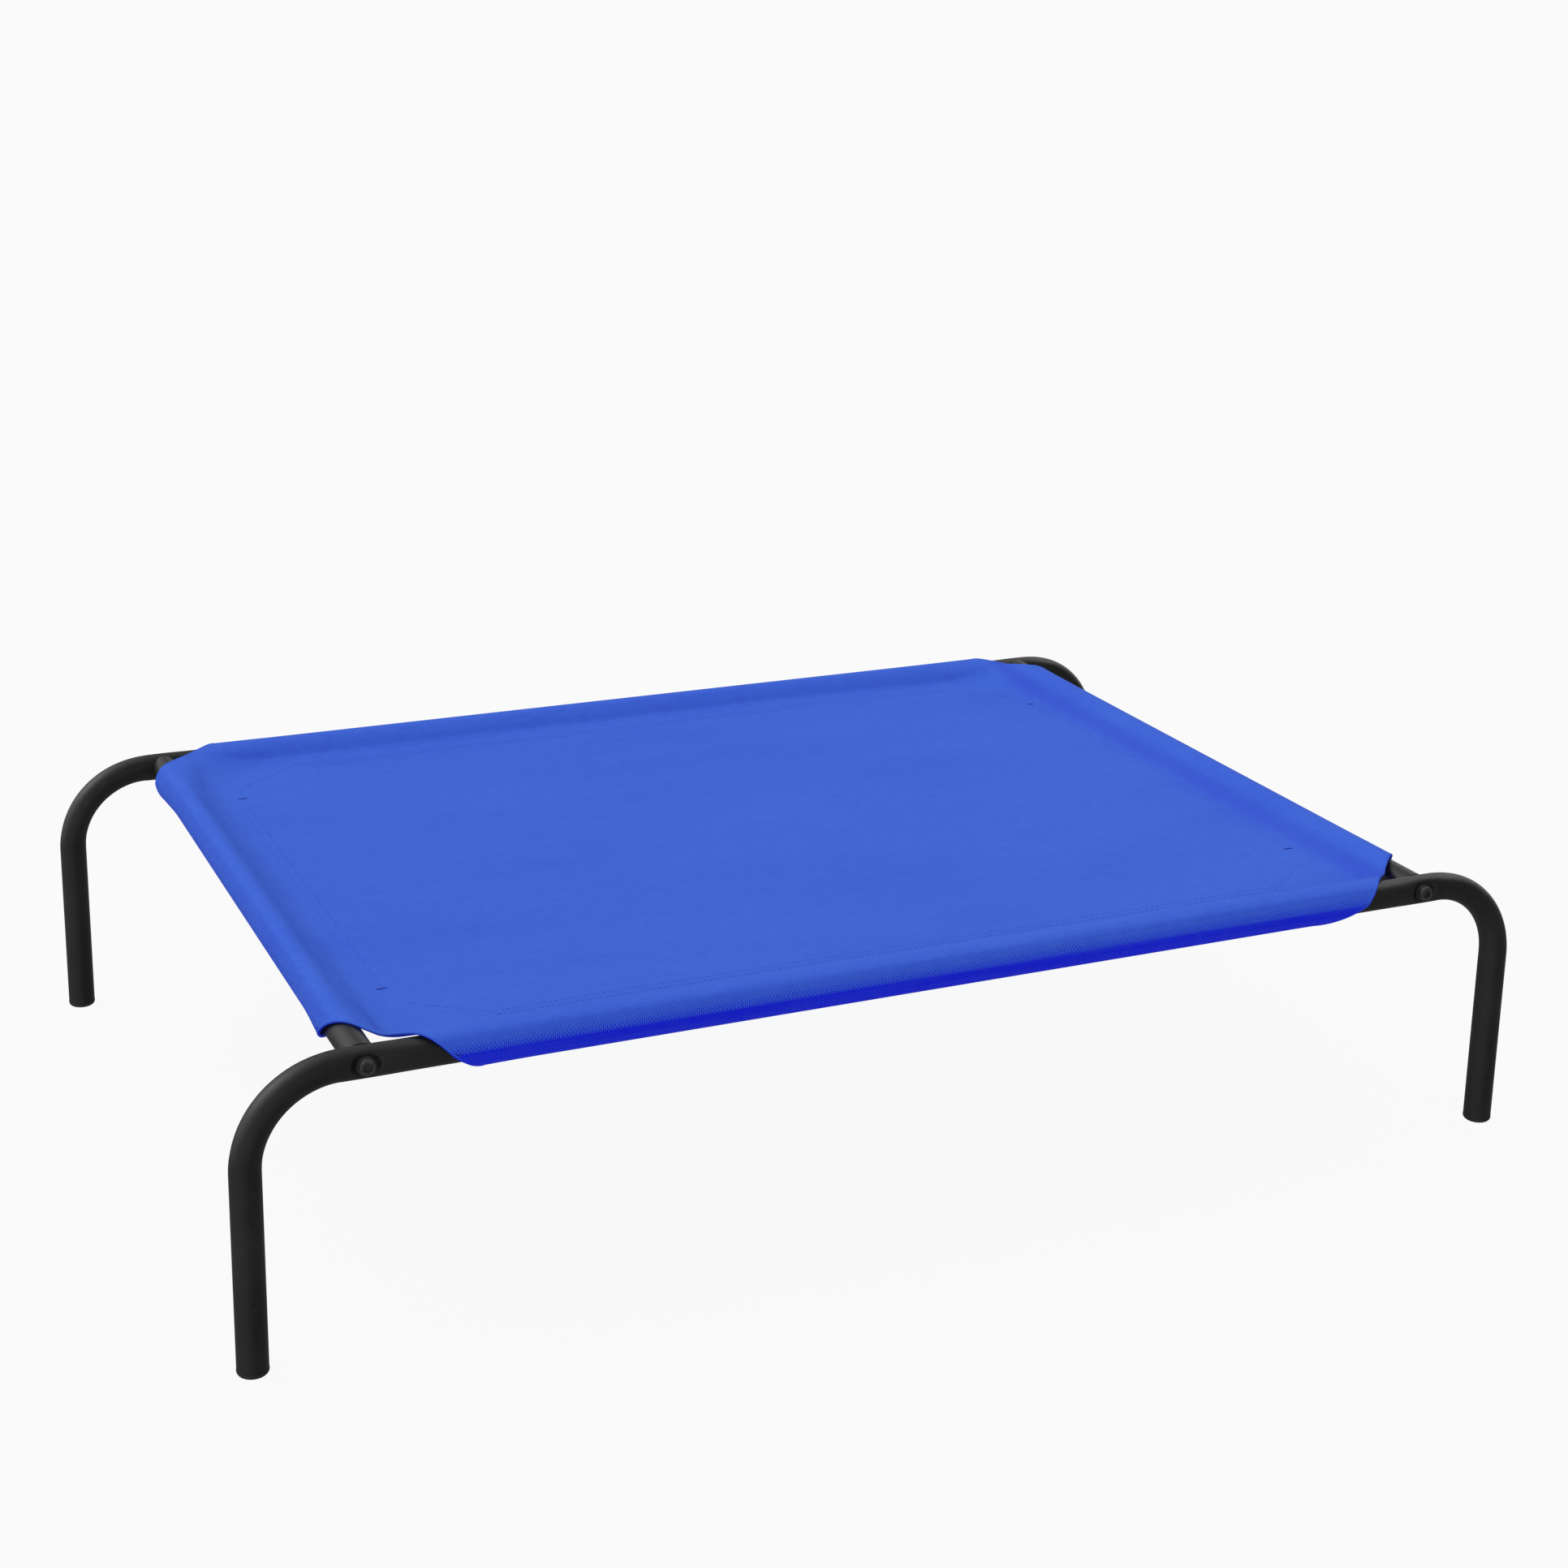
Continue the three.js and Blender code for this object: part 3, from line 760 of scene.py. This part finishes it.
def sag_at(u, v):
    """The simulated sag at flat places, read off its grid."""
    us, vs, sag = PANEL_SAG
    i = np.clip(np.searchsorted(us, u) - 1, 0, len(us) - 2)
    j = np.clip(np.searchsorted(vs, v) - 1, 0, len(vs) - 2)
    a = np.clip((u - us[i]) / (us[i + 1] - us[i]), 0, 1)
    b = np.clip((v - vs[j]) / (vs[j + 1] - vs[j]), 0, 1)
    low = sag[i, j] * (1 - a) + sag[i + 1, j] * a
    high = sag[i, j + 1] * (1 - a) + sag[i + 1, j + 1] * a
    return low * (1 - b) + high * b


SIM_FRAMES = 30


def simulate_panel():
    """Blender's cloth relaxes the panel between its seams, and returns how far it sank."""
    half_u, half_v = BAR_X - SEAM_REACH, RAIL_Y - SEAM_REACH
    us, vs = np.linspace(-half_u, half_u, 89), np.linspace(-half_v, half_v, 61)
    u, v = np.meshgrid(us, vs, indexing="ij")
    start = cover_surface(u, v).reshape(-1, 3)
    n = len(vs)
    faces = [
        (i * n + j, (i + 1) * n + j, (i + 1) * n + j + 1, i * n + j + 1)
        for i in range(len(us) - 1) for j in range(n - 1)
    ]
    mesh = bpy.data.meshes.new("panel_drape")
    mesh.from_pydata(start.tolist(), [], faces)
    cloth_object = bpy.data.objects.new("panel_drape", mesh)
    SCENE.collection.objects.link(cloth_object)
    edge = np.minimum.reduce([u + half_u, half_u - u, v + half_v, half_v - v]).ravel() < 1e-6
    pins = cloth_object.vertex_groups.new(name="sewn")
    pins.add(np.flatnonzero(edge).tolist(), 1.0, "REPLACE")
    cloth = cloth_object.modifiers.new("drape", "CLOTH")
    settings = cloth.settings
    settings.vertex_group_mass = "sewn"
    settings.quality = 8
    settings.mass = 0.001
    settings.tension_stiffness = settings.compression_stiffness = 60
    settings.shear_stiffness = 30
    settings.bending_stiffness = 0.8
    settings.air_damping = 3
    cloth.collision_settings.use_self_collision = False
    cloth.point_cache.frame_start, cloth.point_cache.frame_end = 1, SIM_FRAMES
    for step in range(1, SIM_FRAMES + 1):
        SCENE.frame_set(step)
    shape = cloth_object.evaluated_get(bpy.context.evaluated_depsgraph_get()).to_mesh()
    settled = np.empty(len(start) * 3)
    shape.vertices.foreach_get("co", settled)
    SCENE.frame_set(1)
    bpy.data.objects.remove(cloth_object)
    sag = (settled.reshape(-1, 3)[:, 2] - start[:, 2]).reshape(u.shape)
    return us, vs, sag


# ---- the cover's pieces


def cut_ends(row, side):
    """Where a corner's cut meets the outer sides: the way along Y on the bar, and along X on the
    rail."""
    total = WRAPS[side].top + CUT_Y
    on_bar, on_rail = CUT_SHIFT.get(f"{row}_{side}", (0, 0))
    return total - WRAPS[side].outside + on_bar, total - WRAPS[row].outside + on_rail


def corner_lines(row, side):
    """The corner's cut as (zone, point, direction out) in flat places of the corner's quarter."""
    bar_outside, rail_outside = WRAPS[side].outside, WRAPS[row].outside
    edge_v, edge_u = cut_ends(row, side)
    rail_slant = RAIL_SLANT[f"{row}_{side}"]
    across = (rail_outside - edge_v, bar_outside - edge_u)
    return [
        (lambda u, v: u > bar_outside, (bar_outside, edge_v), (BAR_SLANT, 1)),
        (lambda u, v: v > rail_outside, (edge_u, rail_outside), (1, rail_slant)),
        (lambda u, v: u <= bar_outside and v <= rail_outside, (edge_u, rail_outside), across),
    ]


def flat_grid(us, vs):
    grid = bmesh.new()
    made = [[grid.verts.new((u, v, 0)) for v in vs] for u in us]
    for i in range(len(us) - 1):
        for j in range(len(vs) - 1):
            grid.faces.new((made[i][j], made[i + 1][j], made[i + 1][j + 1], made[i][j + 1]))
    return grid


def trim(grid, point, direction, su, sv, zone=None):
    """Cuts away what lies outwards of a line, for the faces of one zone of one quarter."""
    faces = []
    for face in grid.faces:
        centre = face.calc_center_median()
        u, v = centre.x * su, centre.y * sv
        if u > 0 and v > 0 and (zone is None or zone(u, v)):
            faces.append(face)
    parts = list(dict.fromkeys(part for f in faces for part in (*f.edges, *f.verts)))
    place = (point[0] * su, point[1] * sv, 0)
    normal = (direction[0] * su, direction[1] * sv, 0)
    bmesh.ops.bisect_plane(
        grid, geom=faces + parts, dist=1e-6, plane_co=place, plane_no=normal, clear_outer=True
    )


def sewn_cloth(name, grid, depth, thickness):
    """Lifts a flat grid onto the cover's surface, that far below its middle, and thickens it."""
    bmesh.ops.remove_doubles(grid, verts=grid.verts[:], dist=0.12 * MM)
    grid.verts.ensure_lookup_table()
    flat = np.array([vert.co[:2] for vert in grid.verts])
    cut_area = sum(face.calc_area() for face in grid.faces)
    layer = grid.loops.layers.uv.new("flat")
    for face in grid.faces:
        for loop in face.loops:
            loop[layer].uv = loop.vert.co[:2]
    u, v = flat.T
    shape = cover_surface(u, v) - depth * cover_normal(u, v)
    for vert, place in zip(grid.verts, shape):
        vert.co = place
    mesh = bpy.data.meshes.new(name)
    grid.to_mesh(mesh)
    grid.free()
    mesh.polygons.foreach_set("use_smooth", [True] * len(mesh.polygons))
    mesh.materials.append(CLOTH)
    made = bpy.data.objects.new(name, mesh)
    SCENE.collection.objects.link(made)
    solid = made.modifiers.new("thickness", "SOLIDIFY")
    solid.thickness, solid.offset, solid.use_even_offset = thickness, 0, False
    applied = bpy.data.meshes.new_from_object(
        made.evaluated_get(bpy.context.evaluated_depsgraph_get())
    )
    applied.name = name
    made.modifiers.clear()
    made.data = applied
    bpy.data.meshes.remove(mesh)
    applied.set_sharp_from_angle(angle=math.radians(60))
    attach(made, "root")
    return made, flat.max(0) - flat.min(0), cut_area


def cover_sheet():
    us = np.concatenate([-WRAPS["left"].lines()[:0:-1], WRAPS["right"].lines()])
    vs = np.concatenate([-WRAPS["front"].lines()[:0:-1], WRAPS["back"].lines()])
    grid = flat_grid(us, vs)
    for row, side in CORNERS:
        for zone, point, direction in corner_lines(row, side):
            trim(grid, point, direction, SIGN[side], SIGN[row], zone)
    return sewn_cloth("cover_cloth", grid, 0.0, CLOTH_THICK)


# The two ends of the line that a turned corner is sewn on.
FACING_A, FACING_B = (323.6 * MM, 212 * MM), (274.5 * MM, 250.6 * MM)
FACING_FROM = (220 * MM, 140 * MM)  # the facing's cloth starts beyond this place
FACING_THICK = 0.8 * MM


def corner_facing(row, side):
    """The corner of the cloth turned under and sewn down, seen as the cut edge's second layer."""
    wrap_u, wrap_v = WRAPS[side], WRAPS[row]
    su, sv = SIGN[side], SIGN[row]
    us = sorted(su * u for u in wrap_u.lines() if FACING_FROM[0] < u <= wrap_u.outside)
    vs = sorted(sv * v for v in wrap_v.lines() if FACING_FROM[1] < v <= wrap_v.outside)
    grid = flat_grid(us, vs)
    total = wrap_u.top + CUT_Y - 0.5 * MM
    trim(grid, (total / 2, total / 2), (1, 1), su, sv)
    slant = (FACING_B[1] - FACING_A[1], FACING_A[0] - FACING_B[0])
    inner = (FACING_A[0] - 4 * MM, FACING_A[1] - 3 * MM)
    trim(grid, inner, (-slant[0], -slant[1]), su, sv)
    depth = (CLOTH_THICK + FACING_THICK) / 2 + 0.04 * MM
    return sewn_cloth(f"{row}_{side}_corner_facing", grid, depth, FACING_THICK)[0]


ROLL_RADIUS = 1.0 * MM


def rolled_edge(row, side):
    """The rounded fold along a corner's cut, from the bar's flap to the rail's flap."""
    wrap_u, wrap_v = WRAPS[side], WRAPS[row]
    edge_v, edge_u = cut_ends(row, side)
    below_u, below_v = wrap_u.end - wrap_u.outside, wrap_v.end - wrap_v.outside
    rail_slant = RAIL_SLANT[f"{row}_{side}"]
    knots = [
        (wrap_u.end, edge_v - BAR_SLANT * below_u),
        (wrap_u.outside, edge_v),
        (edge_u, wrap_v.outside),
        (edge_u - rail_slant * below_v, wrap_v.end),
    ]
    path = []
    for (ua, va), (ub, vb) in zip(knots, knots[1:]):
        count = int(math.hypot(ub - ua, vb - va) / (1.2 * MM))
        path += [(ua + (ub - ua) * k / count, va + (vb - va) * k / count) for k in range(count)]
    path = np.array(path + [knots[-1]])
    inset = 0.6 * ROLL_RADIUS / math.sqrt(2)
    u, v = SIGN[side] * (path[:, 0] - inset), SIGN[row] * (path[:, 1] - inset)
    normal = cover_normal(u, v)
    spine = cover_surface(u, v) - 0.35 * MM * normal
    beside = np.cross(normal, unit(np.gradient(spine, axis=0)))
    sides = 10
    turns = full_turn(sides)
    ring = normal[:, None] * np.cos(turns)[:, None] + beside[:, None] * np.sin(turns)[:, None]
    verts = (spine[:, None] + ROLL_RADIUS * ring).reshape(-1, 3)
    faces = ring_faces(len(u), sides, capped=True)
    made = piece(f"{row}_{side}_rolled_edge", verts, faces, CLOTH)
    round_it = np.tile(turns * ROLL_RADIUS, len(u))
    flat = np.stack([np.repeat(u, sides), np.repeat(v, sides) + round_it], 1)
    layer = made.data.uv_layers.new(name="flat")
    for loop in made.data.loops:
        layer.data[loop.index].uv = flat[loop.vertex_index]
    return made


def stitches(u0, v0, u1, v1, pitch, length, radius):
    """Stitches along a straight flat line: their vertices and faces."""
    reach = math.hypot(u1 - u0, v1 - v0)
    count = max(1, int(reach / pitch))
    mids = (np.arange(count) + 0.5) / count
    du, dv = (u1 - u0) / reach, (v1 - v0) / reach
    shares = np.array([-0.5, -0.44, -0.25, 0.0, 0.25, 0.44, 0.5])
    plump = np.array([0.15, 0.7, 1.0, 1.05, 1.0, 0.7, 0.15])
    sunk = np.array([0.30, 0.12, -0.02, -0.06, -0.02, 0.12, 0.30]) * MM
    ways = mids[:, None] * reach + shares * length
    u, v = u0 + ways * du, v0 + ways * dv
    base, normal = cover_surface(u, v), cover_normal(u, v)
    ahead = cover_surface(u + 0.1 * MM * du, v + 0.1 * MM * dv) - base
    beside = np.cross(normal, unit(ahead))
    sides = 7
    turns = full_turn(sides)
    spine = base + normal * (CLOTH_THICK / 2 + 0.05 * MM - sunk[None, :, None])
    ring_up = normal[..., None, :] * np.cos(turns)[:, None] * 0.85
    ring_side = beside[..., None, :] * np.sin(turns)[:, None]
    size = (radius * plump)[None, :, None, None]
    verts = (spine[..., None, :] + (ring_up + ring_side) * size).reshape(-1, 3)
    faces = []
    for first in range(0, len(verts), len(shares) * sides):
        faces += ring_faces(len(shares), sides, first, capped=True)
    return verts, faces


def sewn(name, lines, material, pitch, length, radius):
    """One piece of all the stitches along these flat lines."""
    verts, faces, total = [], [], 0
    for line in lines:
        more_verts, more_faces = stitches(*line, pitch, length, radius)
        faces += [tuple(i + total for i in face) for face in more_faces]
        verts.append(more_verts)
        total += len(more_verts)
    return piece(name, np.concatenate(verts), faces, material)


STITCH_PITCH, STITCH_LENGTH, STITCH_RADIUS = 3.8 * MM, 3.3 * MM, 0.2 * MM


def all_stitching():
    """Double rows along the four seams, on top and below, and one row round each corner facing."""
    lines = []
    for name, wrap in WRAPS.items():
        for reach in ROWS:
            for way in (SIGN[name] * wrap.upper(reach), SIGN[name] * wrap.lower(reach)):
                if name in ("left", "right"):
                    lines.append((way, -SHORT_SEAM_END, way, SHORT_SEAM_END))
                else:
                    lines.append((-LONG_SEAM_END, way, LONG_SEAM_END, way))
    for row, side in CORNERS:
        su, sv = SIGN[side], SIGN[row]
        (ua, va), (ub, vb) = FACING_A, FACING_B
        lines.append((su * ua, sv * va, su * ub, sv * vb))
    return sewn("cover_stitching", lines, THREAD, STITCH_PITCH, STITCH_LENGTH, STITCH_RADIUS)


TACK_LENGTH, TACK_RADIUS, TACK_STEP = 9 * MM, 0.25 * MM, 0.4 * MM
TACK_MIDDLE = SEAM_REACH + 2.5 * MM  # from a bar's axis


def bar_tacks():
    """A short, close set of long stitches across each end of the short seams."""
    lines = []
    for side in ("left", "right"):
        inner = WRAPS[side].upper(TACK_MIDDLE + TACK_LENGTH / 2)
        outer = WRAPS[side].upper(TACK_MIDDLE - TACK_LENGTH / 2)
        for end in (-1, 1):
            for step in range(3):
                at = end * (SHORT_SEAM_END + 0.5 * MM - step * TACK_STEP)
                lines.append((SIGN[side] * inner, at, SIGN[side] * outer, at))
    stitch = 0.95 * TACK_LENGTH
    return sewn("cover_bar_tacks", lines, TACK_THREAD, TACK_LENGTH, stitch, TACK_RADIUS)


# ---- everything together

for row in ("front", "back"):
    leg_frame(row)
for side in ("left", "right"):
    cross_bar(side)
for row, side in CORNERS:
    foot_plug(row, side)
    bolt(row, side)
    washer(row, side)
    insert = bpy.data.objects[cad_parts[f"{row}_{side}_threaded_insert"].name]
    for k in range(len(insert.material_slots)):
        insert.material_slots[k].material = ZINC

PANEL_SAG = simulate_panel()
cover, flat_size, flat_area = cover_sheet()
hems = [make(row, side) for row, side in CORNERS for make in (corner_facing, rolled_edge)]
stitching = [all_stitching(), bar_tacks()]
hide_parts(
    "sleeping_panel", "front_sleeve", "back_sleeve", "left_sleeve", "right_sleeve"
)

# ---- floor, light and camera


def floor():
    """A pale floor. It is lit from within so that it stays even, and left out of reflections."""
    n = Nodes("pale_floor")
    n.set(Base_Color=(0.02, 0.02, 0.02, 1), Roughness=1.0, Specular_IOR_Level=0.0)
    n.set(Emission_Color=(1, 1, 1, 1), Emission_Strength=0.933)
    reach = 60.0
    corners = [(-reach, -reach, 0), (reach, -reach, 0), (reach, reach, 0), (-reach, reach, 0)]
    mesh = bpy.data.meshes.new("floor")
    mesh.from_pydata(corners, [], [(0, 1, 2, 3)])
    mesh.materials.append(n.material)
    made = bpy.data.objects.new("floor", mesh)
    made.visible_glossy = False
    SCENE.collection.objects.link(made)


# The studio's soft boxes: the way to each one, its brightness, and the cosines of its soft edge.
SOFT_BOXES = [
    ((-0.64, 0.46, 0.61), 1.08, 0.5, 0.94),
    ((0.74, 0.57, 0.36), 0.6, 0.72, 0.97),
    ((-0.85, -0.5, 0.15), 0.3, 0.2, 0.9),
]
ROOM = 0.175  # brightness of everything else round the studio
BACKDROP = 0.956  # brightness of the studio's far wall where it is seen past the floor


def world_light():
    world = bpy.data.worlds.new("studio")
    world.use_nodes = True
    tree = world.node_tree
    way = tree.nodes.new("ShaderNodeTexCoord").outputs["Generated"]
    total = None
    for toward, bright, edge, core in SOFT_BOXES:
        dot = tree.nodes.new("ShaderNodeVectorMath")
        dot.operation = "DOT_PRODUCT"
        tree.links.new(way, dot.inputs[0])
        dot.inputs[1].default_value = Vector(toward).normalized()
        box = tree.nodes.new("ShaderNodeMapRange")
        box.interpolation_type = "SMOOTHSTEP"
        for key, number in enumerate((edge, core, 0.0, bright), start=1):
            box.inputs[key].default_value = number
        tree.links.new(dot.outputs["Value"], box.inputs[0])
        add = tree.nodes.new("ShaderNodeMath")
        add.operation = "ADD"
        add.inputs[1].default_value = ROOM
        if total is not None:
            tree.links.new(total, add.inputs[1])
        tree.links.new(box.outputs[0], add.inputs[0])
        total = add.outputs[0]
    seen = tree.nodes.new("ShaderNodeMapRange")
    tree.links.new(tree.nodes.new("ShaderNodeLightPath").outputs["Is Camera Ray"], seen.inputs[0])
    tree.links.new(total, seen.inputs["To Min"])
    seen.inputs["To Max"].default_value = BACKDROP
    background = tree.nodes["Background"]
    background.inputs["Color"].default_value = (1, 1, 1, 1)
    tree.links.new(seen.outputs[0], background.inputs["Strength"])
    SCENE.world = world


def far_light(name, travel, energy, spread, highlights):
    """A light from far away that makes either highlights only or none."""
    sun = bpy.data.lights.new(name, "SUN")
    sun.energy, sun.angle = energy, math.radians(spread)
    made = bpy.data.objects.new(name, sun)
    made.rotation_euler = Vector(travel).to_track_quat("-Z", "Y").to_euler()
    made.visible_glossy, made.visible_diffuse = highlights, not highlights
    SCENE.collection.objects.link(made)


CAMERA_PLACE = (-0.72372, -1.63249, 0.82773)
CAMERA_TURN = (0.425896, 0.271075, 0.018638)  # yaw to the right, pitch down and roll, in radians
LENS, SENSOR = 60.184, 36  # both in millimetres
LENS_SHIFT = (0.00162, -0.09953)  # as shares of the sensor's width


def camera():
    yaw, pitch, roll = CAMERA_TURN
    flat = math.cos(pitch)
    forward = Vector((math.sin(yaw) * flat, math.cos(yaw) * flat, -math.sin(pitch)))
    level = Vector((math.cos(yaw), -math.sin(yaw), 0))
    above = level.cross(forward)
    right = level * math.cos(roll) + above * math.sin(roll)
    up = above * math.cos(roll) - level * math.sin(roll)
    data = bpy.data.cameras.new("camera")
    data.lens, data.sensor_width = LENS, SENSOR
    data.shift_x, data.shift_y = LENS_SHIFT
    data.clip_end = 200
    made = bpy.data.objects.new("camera", data)
    turn = Matrix((right, up, -forward)).transposed().to_4x4()
    made.matrix_world = Matrix.Translation(CAMERA_PLACE) @ turn
    SCENE.collection.objects.link(made)
    SCENE.camera = made


floor()
world_light()
far_light("front_fill", (0.2, 0.9, -0.35), 1.3, 80, highlights=False)
far_light("top_fill", (-0.05, -0.1, -1.0), 1.3, 80, highlights=False)
far_light("left_highlight", (0.64, -0.46, -0.61), 0.6, 35, highlights=True)
far_light("right_highlight", (-0.6, -0.2, -0.77), 0.5, 40, highlights=True)
camera()
SCENE.view_settings.view_transform = "Standard"
